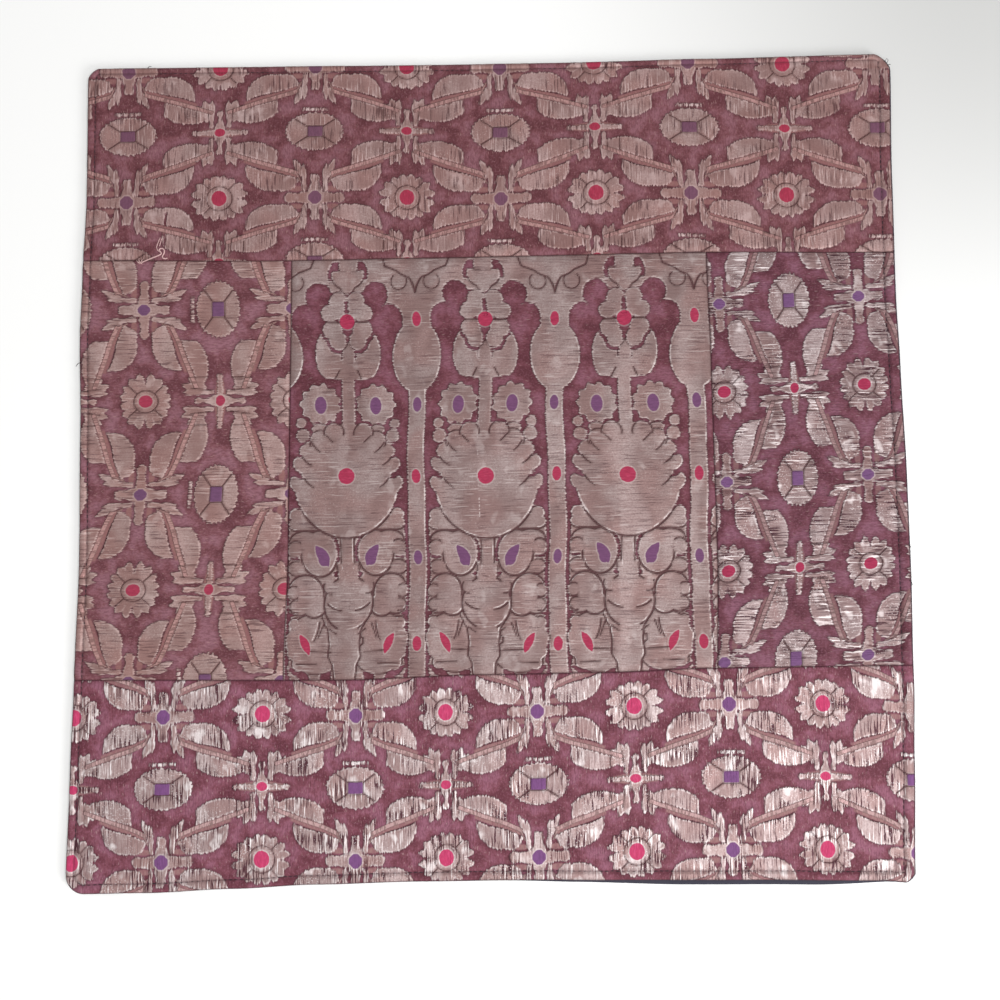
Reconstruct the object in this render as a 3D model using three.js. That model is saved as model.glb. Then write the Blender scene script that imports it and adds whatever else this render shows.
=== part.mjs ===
// A pillow sham that lies flat and empty: a square front pieced from five brocade panels,
// with a plain back panel under it. Millimetres, +Z up. +Y points to the top band.
// The origin is on the surface that the sham lies on, under the middle of its outline.
import * as THREE from "three";

// Driving dimensions
const HALF = 203; // half the side of the square that the sham is cut to
const BACK_THICK = 1.0; // the plain back cloth
const FRONT_THICK = 1.3; // the brocade, with the seam allowances pressed behind it
const GAP = 0.3; // clearance between neighbouring pieces
const STITCH_INSET = 3.8; // the topstitching runs this far inside the edge
const BACK_STEP = 14; // widest step between the points of the back's outline
const FRONT_STEP = 14; // widest cell of a front panel

// The cut square's four edges: how far the cloth reaches past the square, along each edge.
const TOP_EDGE = [
  { at: -203, out: 0.5 },
  { at: -110, out: 0.3 },
  { at: -20, out: -0.1 },
  { at: 40, out: -0.1 },
  { at: 110, out: 0.8 },
  { at: 203, out: 1.8 },
];
const BOTTOM_EDGE = [
  { at: -203, out: 2.45 },
  { at: -165, out: 2.1 },
  { at: -125, out: 0.5 },
  { at: -85, out: -1.2 },
  { at: -35, out: -2.3 },
  { at: 15, out: -2.6 },
  { at: 60, out: -2.1 },
  { at: 120, out: -1.7 },
  { at: 185, out: -0.9 },
  { at: 203, out: 0.4 },
];
const LEFT_EDGE = [
  { at: -203, out: 1.4 },
  { at: -150, out: 0.5 },
  { at: -105, out: -0.5 },
  { at: -48, out: -1.7 },
  { at: 20, out: -0.8 },
  { at: 65, out: 0.4 },
  { at: 95, out: -0.2 },
  { at: 135, out: -1.4 },
  { at: 203, out: -0.9 },
];
const RIGHT_EDGE = [
  { at: -203, out: -3.2 },
  { at: -146, out: -1.8 },
  { at: -108, out: -0.7 },
  { at: -55, out: 0.6 },
  { at: -10, out: 0.5 },
  { at: 48, out: -0.5 },
  { at: 80, out: -1.2 },
  { at: 140, out: -0.7 },
  { at: 203, out: 0.7 },
];

// The seams between the panels. A band's seam has a height for each place across the sham,
// and a side seam has a place across the sham for each height.
const TOP_SEAM = [
  { at: -203, place: 103.6 },
  { at: -98, place: 102.4 },
  { at: -30, place: 102.9 },
  { at: 109, place: 104.0 },
  { at: 203, place: 102.8 },
];
const BOTTOM_SEAM = [
  { at: -203, place: -104.4 },
  { at: -73, place: -105.4 },
  { at: -5, place: -103.5 },
  { at: 52, place: -103.0 },
  { at: 109, place: -101.4 },
  { at: 203, place: -100.9 },
];
const LEFT_SEAM = [
  { at: -104, place: -100.9 },
  { at: -42, place: -99.0 },
  { at: 103, place: -98.0 },
];
const RIGHT_SEAM = [
  { at: -101, place: 109.4 },
  { at: -50, place: 110.6 },
  { at: 50, place: 110.0 },
  { at: 104, place: 109.0 },
];

// How far the back cloth shows past the front along each edge.
const BACK_AT_TOP = [
  { at: -150, out: 0.2 },
  { at: -60, out: 0.5 },
  { at: 203, out: 0.6 },
];
const BACK_AT_BOTTOM = [
  { at: 25, out: 0 },
  { at: 90, out: 1.6 },
  { at: 165, out: 1.7 },
  { at: 200, out: 0.1 },
];
const BACK_AT_LEFT = [{ at: 0, out: -0.2 }];
const BACK_AT_RIGHT = [
  { at: -203, out: 0.5 },
  { at: 203, out: 0.7 },
];

// Corners, each cut round over its reach. A bend of 2 is a round arc, and 1 is a straight cut.
const CORNERS = [
  { side: "left", end: "top", reach: 5.5, bend: 1.5 },
  { side: "right", end: "top", reach: 7.5, bend: 1.35 },
  { side: "right", end: "bottom", reach: 4.5, bend: 1.3 },
  { side: "left", end: "bottom", reach: 9, bend: 2 },
];

// Height of the front's face over its own level, against the distance from an outer edge:
// the allowances turned inside lift the rim, and the topstitching pulls a groove.
const RIM_PROFILE = [
  { at: 0, rise: -0.35 },
  { at: 1.0, rise: 0.35 },
  { at: 2.7, rise: 0.3 },
  { at: STITCH_INSET, rise: -0.45 },
  { at: 5.0, rise: 0.15 },
  { at: 11, rise: 0 },
];
// The same against the distance from a seam between two panels.
const SEAM_PROFILE = [
  { at: 0, rise: -0.6 },
  { at: 1.0, rise: 0 },
  { at: 3.2, rise: 0.25 },
  { at: 10, rise: 0 },
];

// Soft folds and puckers of the front. Turn is the angle of the fold's run from +X, in degrees.
const FOLDS = [
  { x: -10, y: -20, turn: 90, length: 34, width: 7, rise: 0.5 },
  { x: -70, y: -34, turn: 88, length: 26, width: 8, rise: 0.45 },
  { x: 60, y: -30, turn: 92, length: 40, width: 8, rise: 0.5 },
  { x: 10, y: 5, turn: 2, length: 80, width: 16, rise: 0.55 },
  { x: 96, y: 60, turn: 86, length: 42, width: 9, rise: 0.8 },
  { x: 150, y: 20, turn: 70, length: 55, width: 15, rise: 0.9 },
  { x: 165, y: -60, turn: 112, length: 48, width: 14, rise: 0.8 },
  { x: -150, y: 40, turn: 82, length: 60, width: 16, rise: 0.8 },
  { x: -155, y: -50, turn: 100, length: 46, width: 13, rise: 0.65 },
  { x: -120, y: 150, turn: 8, length: 60, width: 15, rise: 0.7 },
  { x: 20, y: 152, turn: -6, length: 75, width: 17, rise: 0.75 },
  { x: 140, y: 150, turn: 12, length: 48, width: 14, rise: 0.65 },
  { x: -130, y: -150, turn: -10, length: 58, width: 15, rise: 0.8 },
  { x: 10, y: -152, turn: 4, length: 82, width: 16, rise: 0.75 },
  { x: 135, y: -148, turn: 14, length: 56, width: 16, rise: 0.95 },
];
const FOLD_FADE = 16; // folds die away over this distance from an edge or a seam

// A table read at one place, running smoothly from row to row and level past its ends.
function along(table, column, at) {
  const last = table.length - 1;
  if (at <= table[0].at) return table[0][column];
  if (at >= table[last].at) return table[last][column];
  const next = table.findIndex((row) => row.at > at);
  const low = table[next - 1];
  const high = table[next];
  const share = (at - low.at) / (high.at - low.at);
  const smooth = share * share * (3 - 2 * share);
  return low[column] + (high[column] - low[column]) * smooth;
}

// The borders of a piece of cloth. Left and right give x at a height, bottom and top give y.
const outer = {
  left: (y) => -HALF - along(LEFT_EDGE, "out", y),
  right: (y) => HALF + along(RIGHT_EDGE, "out", y),
  bottom: (x) => -HALF - along(BOTTOM_EDGE, "out", x),
  top: (x) => HALF + along(TOP_EDGE, "out", x),
};
const backOuter = {
  left: (y) => outer.left(y) - along(BACK_AT_LEFT, "out", y),
  right: (y) => outer.right(y) + along(BACK_AT_RIGHT, "out", y),
  bottom: (x) => outer.bottom(x) - along(BACK_AT_BOTTOM, "out", x),
  top: (x) => outer.top(x) + along(BACK_AT_TOP, "out", x),
};

// A seam as a border, moved to one side by half the gap.
function seam(table, toward) {
  return (at) => along(table, "place", at) + (toward * GAP) / 2;
}

// The five front panels. Rims names the sides that lie on the sham's outer edge.
const PANELS = [
  {
    name: "panel_top",
    borders: { ...outer, bottom: seam(TOP_SEAM, 1) },
    rims: ["left", "right", "top"],
    color: 0x8c6468,
  },
  {
    name: "panel_left",
    borders: {
      ...outer,
      right: seam(LEFT_SEAM, -1),
      bottom: seam(BOTTOM_SEAM, 1),
      top: seam(TOP_SEAM, -1),
    },
    rims: ["left"],
    color: 0x8f6768,
  },
  {
    name: "panel_centre",
    borders: {
      left: seam(LEFT_SEAM, 1),
      right: seam(RIGHT_SEAM, -1),
      bottom: seam(BOTTOM_SEAM, 1),
      top: seam(TOP_SEAM, -1),
    },
    rims: [],
    color: 0x8e7a70,
  },
  {
    name: "panel_right",
    borders: {
      ...outer,
      left: seam(RIGHT_SEAM, 1),
      bottom: seam(BOTTOM_SEAM, 1),
      top: seam(TOP_SEAM, -1),
    },
    rims: ["right"],
    color: 0x8b6568,
  },
  {
    name: "panel_bottom",
    borders: { ...outer, top: seam(BOTTOM_SEAM, -1) },
    rims: ["left", "right", "bottom"],
    color: 0xa08080,
  },
];

// Size of a piece through its middle, which turns distances into shares of its borders.
function middleSize(borders) {
  const x = (borders.left(0) + borders.right(0)) / 2;
  const y = (borders.bottom(x) + borders.top(x)) / 2;
  return { width: borders.right(y) - borders.left(y), height: borders.top(x) - borders.bottom(x) };
}

// Distances at which the grid has a line, close together at both ends to carry their profiles.
function gridLines(size, lowProfile, highProfile, step) {
  const low = lowProfile.map((row) => row.at);
  const high = highProfile.map((row) => size - row.at).reverse();
  const start = low[low.length - 1];
  const span = high[0] - start;
  const count = Math.max(1, Math.round(span / step));
  const middle = [];
  for (let i = 1; i < count; i += 1) {
    middle.push(start + (span * i) / count);
  }
  return [...low, ...middle, ...high];
}

// A point near a corner, moved in so that square rings round the corner become bent ones.
// Across and up are the distances from the two borders that meet there.
function roundCorner(across, up, corner) {
  const p = corner.reach - across;
  const q = corner.reach - up;
  if (p <= 0 || q <= 0) return { across, up };
  const ring = Math.max(p, q);
  const norm = (p ** corner.bend + q ** corner.bend) ** (1 / corner.bend);
  return {
    across: corner.reach - (p * ring) / norm,
    up: corner.reach - (q * ring) / norm,
  };
}

// The place of a grid point on the cloth, from its distances to the left and bottom borders.
function clothPoint(piece, size, fromLeft, fromBottom) {
  let u = fromLeft;
  let v = fromBottom;
  for (const corner of CORNERS) {
    if (!piece.rims.includes(corner.side) || !piece.rims.includes(corner.end)) continue;
    const atRight = corner.side === "right";
    const atTop = corner.end === "top";
    const moved = roundCorner(
      atRight ? size.width - u : u,
      atTop ? size.height - v : v,
      corner,
    );
    u = atRight ? size.width - moved.across : moved.across;
    v = atTop ? size.height - moved.up : moved.up;
  }
  const { left, right, bottom, top } = piece.borders;
  const s = u / size.width;
  const t = v / size.height;
  let x = 0;
  let y = (bottom(x) + top(x)) / 2;
  for (let round = 0; round < 4; round += 1) {
    x = left(y) + (right(y) - left(y)) * s;
    y = bottom(x) + (top(x) - bottom(x)) * t;
  }
  return { x, y };
}

// Height that the folds add at one place of the front.
function foldRise(x, y) {
  let rise = 0;
  for (const fold of FOLDS) {
    const turn = THREE.MathUtils.degToRad(fold.turn);
    const dx = x - fold.x;
    const dy = y - fold.y;
    const run = (dx * Math.cos(turn) + dy * Math.sin(turn)) / fold.length;
    const off = (-dx * Math.sin(turn) + dy * Math.cos(turn)) / fold.width;
    rise += fold.rise * Math.exp(-run * run - off * off);
  }
  return rise;
}

// A closed sheet over a grid of columns and rows. The callback gives x, y, low and high.
function sheetGeometry(columns, rows, pointAt) {
  const wide = columns.length;
  const tall = rows.length;
  const faceSize = wide * tall;
  const positions = new Float32Array(faceSize * 6);
  columns.forEach((u, i) => {
    rows.forEach((v, j) => {
      const point = pointAt(u, v);
      const index = j * wide + i;
      positions.set([point.x, point.y, point.high], index * 3);
      positions.set([point.x, point.y, point.low], (faceSize + index) * 3);
    });
  });
  const faces = [];
  for (let j = 0; j < tall - 1; j += 1) {
    for (let i = 0; i < wide - 1; i += 1) {
      const a = j * wide + i;
      const b = a + 1;
      const c = a + wide + 1;
      const d = a + wide;
      faces.push(a, b, c, a, c, d);
      faces.push(faceSize + a, faceSize + c, faceSize + b);
      faces.push(faceSize + a, faceSize + d, faceSize + c);
    }
  }
  const wall = (a, b) => {
    faces.push(a, faceSize + a, faceSize + b);
    faces.push(a, faceSize + b, b);
  };
  for (let i = 0; i < wide - 1; i += 1) {
    wall(i, i + 1);
    wall((tall - 1) * wide + i + 1, (tall - 1) * wide + i);
  }
  for (let j = 0; j < tall - 1; j += 1) {
    wall((j + 1) * wide, j * wide);
    wall(j * wide + wide - 1, (j + 1) * wide + wide - 1);
  }
  const geometry = new THREE.BufferGeometry();
  geometry.setAttribute("position", new THREE.BufferAttribute(positions, 3));
  geometry.setIndex(faces);
  geometry.computeVertexNormals();
  return geometry;
}

// One brocade panel, with its folds, its rim and groove at outer edges and its rolled seams.
function frontPanel(panel) {
  const size = middleSize(panel.borders);
  const profileOf = (side) => (panel.rims.includes(side) ? RIM_PROFILE : SEAM_PROFILE);
  const columns = gridLines(size.width, profileOf("left"), profileOf("right"), FRONT_STEP);
  const rows = gridLines(size.height, profileOf("bottom"), profileOf("top"), FRONT_STEP);
  const level = BACK_THICK + GAP;
  const geometry = sheetGeometry(columns, rows, (u, v) => {
    const { x, y } = clothPoint(panel, size, u, v);
    const toSide = { left: u, right: size.width - u, bottom: v, top: size.height - v };
    const toRims = panel.rims.map((side) => toSide[side]);
    const toSeams = Object.keys(toSide)
      .filter((side) => !panel.rims.includes(side))
      .map((side) => toSide[side]);
    const rim = Math.min(...toRims, HALF);
    const seamed = Math.min(...toSeams, HALF);
    const fade = Math.min(1, Math.min(rim, seamed) / FOLD_FADE);
    const lift = foldRise(x, y) * fade;
    const shaped = along(RIM_PROFILE, "rise", rim) + along(SEAM_PROFILE, "rise", seamed);
    return { x, y, low: level + lift, high: level + FRONT_THICK + lift + Math.max(-0.6, shaped) };
  });
  const material = new THREE.MeshStandardMaterial({
    color: panel.color,
    roughness: 0.6,
    metalness: 0.1,
  });
  const mesh = new THREE.Mesh(geometry, material);
  mesh.name = panel.name;
  return mesh;
}

// The plain back, flat on the surface, with its own slightly larger outline.
function backPanel() {
  const piece = { borders: backOuter, rims: ["left", "right", "bottom", "top"] };
  const size = middleSize(piece.borders);
  const columns = gridLines(size.width, RIM_PROFILE, RIM_PROFILE, BACK_STEP);
  const rows = gridLines(size.height, RIM_PROFILE, RIM_PROFILE, BACK_STEP);
  const round = [
    ...columns.map((u) => [u, 0]),
    ...rows.slice(1).map((v) => [size.width, v]),
    ...columns.slice(0, -1).reverse().map((u) => [u, size.height]),
    ...rows.slice(1, -1).reverse().map((v) => [0, v]),
  ];
  const outline = round.map(([u, v]) => {
    const { x, y } = clothPoint(piece, size, u, v);
    return new THREE.Vector2(x, y);
  });
  const geometry = new THREE.ExtrudeGeometry(new THREE.Shape(outline), {
    depth: BACK_THICK,
    bevelEnabled: false,
  });
  const material = new THREE.MeshStandardMaterial({
    color: 0x2a2838,
    roughness: 0.85,
    metalness: 0,
  });
  const mesh = new THREE.Mesh(geometry, material);
  mesh.name = "back_panel";
  return mesh;
}

const sham = new THREE.Group();
sham.add(backPanel());
for (const panel of PANELS) {
  sham.add(frontPanel(panel));
}

export default sham;
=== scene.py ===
# A pillow sham that lies flat: a square front pieced from five brocade panels, over a plain back.
# Shapes are worked out in millimetres, and become metres where a mesh is made.
import functools
import math
import bpy
import numpy as np
from mathutils import Matrix, Vector


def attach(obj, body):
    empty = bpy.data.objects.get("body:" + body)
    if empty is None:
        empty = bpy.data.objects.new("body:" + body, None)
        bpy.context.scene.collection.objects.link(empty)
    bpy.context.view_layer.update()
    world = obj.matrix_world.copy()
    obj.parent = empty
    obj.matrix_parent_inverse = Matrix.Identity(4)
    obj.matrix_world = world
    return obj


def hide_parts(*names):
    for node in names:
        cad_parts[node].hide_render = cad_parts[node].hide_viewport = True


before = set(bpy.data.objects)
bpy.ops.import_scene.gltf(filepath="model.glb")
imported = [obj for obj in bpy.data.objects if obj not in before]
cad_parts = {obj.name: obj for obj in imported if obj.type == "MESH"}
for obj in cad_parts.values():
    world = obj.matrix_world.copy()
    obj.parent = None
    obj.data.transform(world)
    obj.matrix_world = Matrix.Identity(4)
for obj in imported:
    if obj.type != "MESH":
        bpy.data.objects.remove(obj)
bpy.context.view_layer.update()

MM = 0.001

# Sizes of the solids
HALF = 203.0  # half the side of the square that the sham is cut to
BACK_THICK = 1.0
FRONT_THICK = 1.3
GAP = 0.3  # between the back and the front
LEVEL = BACK_THICK + GAP  # height of the front's underside

# Sewing
ALL_SIDES = ("left", "right", "bottom", "top")
STITCH_INSET = 3.8  # where the rim's profile has the groove of the topstitching
STITCH_AT = {"left": 3.8, "right": 5.2, "bottom": 4.2, "top": 3.0}  # the groove's real place on each side
STITCH_PITCH = 2.6
SIDE_POINTS = 800  # points along each side that the row of stitches follows
SEAM_OPENING = 0.06
FOLD_FADE = 16.0  # the folds rise over this much cloth beside an edge or a seam

# How far the cut cloth reaches past the square: each row is a place along the edge and the reach there
TOP_EDGE = [(-203, 0.5), (-110, 0.3), (-20, -0.1), (40, -0.1), (110, 0.8), (203, 1.8)]
BOTTOM_EDGE = [
    (-203, 2.45), (-165, 2.1), (-125, 0.5), (-85, -1.2), (-35, -2.3),
    (15, -2.6), (60, -2.1), (120, -1.7), (185, -0.9), (203, 0.4),
]
LEFT_EDGE = [
    (-203, 1.4), (-150, 0.5), (-105, -0.5), (-48, -1.7), (20, -0.8),
    (65, 0.4), (95, -0.2), (135, -1.4), (203, -0.9),
]
RIGHT_EDGE = [
    (-203, -3.2), (-146, -1.8), (-108, -0.7), (-55, 0.6), (-10, 0.5),
    (48, -0.5), (80, -1.2), (140, -0.7), (203, 0.7),
]

# How far the soft front stands out over its flat size, and the back over the front
PROUD_TOP = [(-60, 0), (60, 0.3), (203, 0.5)]
PROUD_RIGHT = [(-203, 0.4), (-115, 1.0), (-60, 0.5), (203, 0.4)]
BACK_AT_TOP = [(-150, 0.2), (-60, 0.6), (203, 0.7)]
BACK_AT_BOTTOM = [(-203, 0.3), (0, 0.5), (40, 1.2), (90, 2.4), (150, 2.4), (200, 0.5)]
BACK_AT_LEFT = [(0, -0.2)]
BACK_AT_RIGHT = [(-203, 0.8), (203, 0.9)]

# The seams: each row is a place along the seam and where it lies across the other axis
TOP_SEAM = [(-203, 103.6), (-98, 102.4), (-30, 102.9), (109, 104.0), (203, 102.8)]
BOTTOM_SEAM = [
    (-203, -104.4), (-73, -105.4), (-5, -103.5), (52, -103.0), (109, -101.4), (203, -100.9),
]
LEFT_SEAM = [(-104, -100.9), (-42, -99.0), (103, -98.0)]
RIGHT_SEAM = [(-101, 109.4), (-50, 110.6), (50, 110.0), (104, 109.0)]

# Each corner's two sides, how far its rounding reaches and the power of its curve
CORNERS = [
    ("left", "top", 5.5, 1.5), ("right", "top", 7.5, 1.35),
    ("right", "bottom", 4.5, 1.3), ("left", "bottom", 9, 2),
]
# Rise of the front over its level: each row is a distance from the edge or the seam and the rise there
RIM_PROFILE = [(0, -0.35), (1.0, 0.35), (2.7, 0.3), (3.8, -0.45), (5.0, 0.15), (11, 0)]
SEAM_PROFILE = [(0, -0.4), (0.9, 0), (3.2, 0.25), (10, 0)]
# x, y, angle of the run in degrees, length, width and rise of each soft fold
FOLDS = [
    (-10, -20, 90, 34, 7, 0.5), (-70, -34, 88, 26, 8, 0.45), (60, -30, 92, 40, 8, 0.5),
    (10, 5, 2, 80, 16, 0.55), (96, 60, 86, 42, 9, 0.8), (150, 20, 70, 55, 15, 0.9),
    (165, -60, 112, 48, 14, 0.8), (-150, 40, 82, 60, 16, 0.8), (-155, -50, 100, 46, 13, 0.65),
    (-120, 150, 8, 60, 15, 0.7), (20, 152, -6, 75, 17, 0.75), (140, 150, 12, 48, 14, 0.65),
    (-130, -150, -10, 58, 15, 0.8), (10, -152, 4, 82, 16, 0.75), (135, -148, 14, 56, 16, 0.95),
]
# The front's finer relief
DEEPEST = 0.6  # no groove goes deeper than this
RIPPLE_WAVES = 26
RIPPLE_RISE = 0.16
RIPPLE_FADE = 6
PUCKER_LENGTH = 5.1
PUCKER_INSET = 4.5
PUCKER_REACH = 2.2
PUCKER_RISE = 0.10
WOVEN_RISE = 0.16  # the metal pattern over its silk ground

# Half steps of the lattice pattern, along its long and its short repeat
LONG_STEP = 46.5
SHORT_STEP = 34.3

# The centre panel's pattern is charted in units of its own. Its columns are CHART_STEP apart, and its
# rows run down the cloth: each row here is a height in millimetres and its chart row.
CHART_STEP = 139.5
CHART_MM = 0.4915  # millimetres to a chart unit
CHART_ROWS = [
    (-104.2, 676), (-88.3, 643), (-48.2, 560), (-6.5, 475), (29.2, 403), (71.4, 319), (104.3, 255),
]
COLUMN_PLACES = [-139.1, -69.6, -1.9, 67.5, 137.0]
# Chart row and half width of the urn's foot, as a turned profile
FOOT = [(606, 25), (614, 24), (621, 21), (629, 17), (642, 15.5), (654, 16.5), (664, 12.5), (680, 11)]
# A field's value where its shape is far away
NOWHERE = -9.0

# Each front panel's slot, its flat size in metres and the cell of its grid
CUTS = {
    "panel_top": ("brocade_band", (0.408, 0.103), 0.68),
    "panel_bottom": ("brocade_band", (0.406, 0.102), 0.68),
    "panel_left": ("brocade_side", (0.105, 0.208), 0.6),
    "panel_right": ("brocade_side", (0.094, 0.206), 0.6),
    "panel_centre": ("brocade_centre", (0.209, 0.207), 0.69),
}
BACK_CELL = 2.0

# Colours as the eye sees them, 0 to 255. upright is whether the metal threads run up the cloth.
# glint is the colour of the painted highlights on the metal, and sparkle how bright the brightest of
# them show; both are highest on the bottom band and the right panel, where the light catches the metal
# most. wear is how far the gaps between the threads show.
BROCADES = {
    "panel_top": dict(
        name="brocade_top", upright=True, metal=(164, 128, 125), glint=(212, 186, 184),
        ground=(120, 72, 78), red=(160, 50, 74), purple=(114, 74, 94), seed=1.0, sparkle=0.6, wear=0.7,
    ),
    "panel_bottom": dict(
        name="brocade_bottom", upright=True, metal=(180, 150, 149), glint=(252, 244, 244),
        ground=(129, 74, 87), red=(197, 64, 107), purple=(125, 79, 129), seed=31.0, sparkle=0.9, wear=1.2,
    ),
    "panel_left": dict(
        name="brocade_left", upright=False, metal=(168, 132, 128), glint=(214, 190, 186),
        ground=(126, 78, 85), red=(161, 55, 79), purple=(113, 75, 107), seed=57.0, sparkle=0.5, wear=0.6,
    ),
    "panel_right": dict(
        name="brocade_right", upright=False, metal=(151, 124, 124), glint=(240, 228, 228),
        ground=(114, 66, 78), red=(160, 46, 78), purple=(116, 78, 120), seed=83.0, sparkle=0.9, wear=1.0,
    ),
    "panel_centre": dict(
        name="brocade_centre", upright=False, metal=(152, 124, 122), glint=(208, 194, 192),
        ground=(115, 65, 75), red=(166, 50, 80), purple=(114, 72, 108), seed=101.0, sparkle=0.4, wear=0.45,
    ),
}
DARK_THREAD = (40, 26, 34)
METAL_THREAD = (208, 170, 168)
BACK_CLOTH = (46, 44, 60)

# The stage. The camera was fitted to the photo; its turns are in radians.
FLOOR_REACH = 3
FLOOR_DROP = 0.0002
PAPER = (1.0, 1.0, 0.99)
# Colour of the painted shade on the paper
SHADED_PAPER = (0.61, 0.61, 0.60)
# Name, place in metres, size and power of each lamp
LAMPS = [
    ("window", (0.52, -0.42, 1.5), 0.9, 15.5),
    ("low_sun", (1.0, -0.8, 0.62), 0.55, 10),
    ("room", (-0.7, 0.9, 1.7), 1.6, 3.6),
]
SKY_STRENGTH = 0.38
CAMERA_LENS = 39
CAMERA_SENSOR = 36
CAMERA_PLACE = (9.490, -63.391, 531.177)
CAMERA_TURNS = (("X", 0.083956), ("Y", 0.0084407), ("Z", -0.0110402))


def along(table, at):
    """A table read at many places, running smoothly from row to row and level past its ends."""
    at = np.asarray(at, float)
    places = np.array([row[0] for row in table], float)
    values = np.array([row[1] for row in table], float)
    if len(table) == 1:
        return np.full_like(at, values[0])
    low = np.clip(np.searchsorted(places, at, side="right") - 1, 0, len(table) - 2)
    share = np.clip((at - places[low]) / (places[low + 1] - places[low]), 0, 1)
    smooth = share * share * (3 - 2 * share)
    return values[low] + (values[low + 1] - values[low]) * smooth


def seam(table, toward):
    return lambda at: along(table, at) + toward * SEAM_OPENING / 2


outer = {
    "left": lambda y: -HALF - along(LEFT_EDGE, y),
    "right": lambda y: HALF + along(RIGHT_EDGE, y) + along(PROUD_RIGHT, y),
    "bottom": lambda x: -HALF - along(BOTTOM_EDGE, x),
    "top": lambda x: HALF + along(TOP_EDGE, x) + along(PROUD_TOP, x),
}
back_outer = {
    "left": lambda y: outer["left"](y) - along(BACK_AT_LEFT, y),
    "right": lambda y: outer["right"](y) + along(BACK_AT_RIGHT, y),
    "bottom": lambda x: outer["bottom"](x) - along(BACK_AT_BOTTOM, x),
    "top": lambda x: outer["top"](x) + along(BACK_AT_TOP, x),
}
middle_row = {"bottom": seam(BOTTOM_SEAM, 1), "top": seam(TOP_SEAM, -1)}
centre_sides = {"left": seam(LEFT_SEAM, 1), "right": seam(RIGHT_SEAM, -1)}
# Each panel's four borders, and those of them that are the sham's own edge
PANELS = {
    "panel_top": ({**outer, "bottom": seam(TOP_SEAM, 1)}, ("left", "right", "top")),
    "panel_left": ({**outer, **middle_row, "right": seam(LEFT_SEAM, -1)}, ("left",)),
    "panel_centre": ({**centre_sides, **middle_row}, ()),
    "panel_right": ({**outer, **middle_row, "left": seam(RIGHT_SEAM, 1)}, ("right",)),
    "panel_bottom": ({**outer, "top": seam(BOTTOM_SEAM, -1)}, ("left", "right", "bottom")),
}


def middle_size(borders):
    x = (borders["left"](0) + borders["right"](0)) / 2
    y = (borders["bottom"](x) + borders["top"](x)) / 2
    return float(borders["right"](y) - borders["left"](y)), float(borders["top"](x) - borders["bottom"](x))


def cloth_point(borders, rims, size, u, v):
    """Places on the cloth, from their distances to the left and the bottom border."""
    u = np.array(u, float)
    v = np.array(v, float)
    for side, end, reach, bend in CORNERS:
        if side not in rims or end not in rims:
            continue
        across = size[0] - u if side == "right" else u
        up = size[1] - v if end == "top" else v
        p = reach - across
        q = reach - up
        near = (p > 0) & (q > 0)
        p = np.where(near, p, 1.0)
        q = np.where(near, q, 1.0)
        pull = np.maximum(p, q) / (p ** bend + q ** bend) ** (1 / bend)
        across = np.where(near, reach - p * pull, across)
        up = np.where(near, reach - q * pull, up)
        u = size[0] - across if side == "right" else across
        v = size[1] - up if end == "top" else up
    s = u / size[0]
    t = v / size[1]
    x = np.zeros_like(s)
    y = (borders["bottom"](x) + borders["top"](x)) / 2
    for _ in range(4):
        x = borders["left"](y) + (borders["right"](y) - borders["left"](y)) * s
        y = borders["bottom"](x) + (borders["top"](x) - borders["bottom"](x)) * t
    return x, y


def turned(dx, dy, degrees):
    """A step, measured along axes that are turned by an angle."""
    c = math.cos(math.radians(degrees))
    s = math.sin(math.radians(degrees))
    return dx * c + dy * s, -dx * s + dy * c


def fold_rise(x, y):
    rise = np.zeros_like(x)
    for fold_x, fold_y, angle, length, width, height in FOLDS:
        run, off = turned(x - fold_x, y - fold_y, angle)
        run, off = run / length, off / width
        rise += height * np.exp(-run * run - off * off)
    return rise


# Woven shapes. Each gives a distance in millimetres that is positive inside the shape.

def smooth_step(low, high, value):
    share = np.clip((value - low) / (high - low), 0, 1)
    return share * share * (3 - 2 * share)


def oval(x, y, middle_x, middle_y, half_x, half_y, turn=0.0):
    dx, dy = turned(x - middle_x, y - middle_y, turn)
    reach = np.hypot(dx / half_x, dy / half_y)
    slope = np.hypot(dx / half_x ** 2, dy / half_y ** 2) + 1e-6
    return reach * (1 - reach) / slope


def box_shape(x, y, middle_x, middle_y, half_x, half_y):
    dx = abs(x - middle_x) - half_x
    dy = abs(y - middle_y) - half_y
    outside = np.hypot(union(dx, 0), union(dy, 0))
    return -(outside + meet(union(dx, dy), 0))


def bowed(x, y, start, end, bend):
    """Share of the way along a run that is bowed sideways by bend, and distance from it."""
    run_x = end[0] - start[0]
    run_y = end[1] - start[1]
    length = math.hypot(run_x, run_y)
    run_x /= length
    run_y /= length
    s = (x - start[0]) * run_x + (y - start[1]) * run_y
    n = -(x - start[0]) * run_y + (y - start[1]) * run_x
    t = np.clip(s / length, 0, 1)
    return t, np.hypot(n - bend * 4 * t * (1 - t), s - t * length)


def stroke(x, y, start, end, width_start, width_end, bend=0.0):
    """A stroke of the needle, its half width running from one size to the other."""
    t, off = bowed(x, y, start, end, bend)
    return width_start + (width_end - width_start) * t - off


def leaf(x, y, root, tip, width, bend=0.0):
    t, off = bowed(x, y, root, tip, bend)
    return width * np.sin(np.pi * t) ** 0.8 - off


def union(*shapes):
    return functools.reduce(np.maximum, shapes)


def meet(*shapes):
    """Where all the shapes lie over one another."""
    return functools.reduce(np.minimum, shapes)


def ovals(x, y, *rows):
    """The union of ovals given by middle, half sizes and turn."""
    return union(*[oval(x, y, *row) for row in rows])


def saw(angle, count):
    """A round of teeth: 1 at each tip and 0 between."""
    turn = angle / (2 * np.pi) * count
    return 1 - 2 * abs(turn - np.floor(turn) - 0.5)


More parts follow.
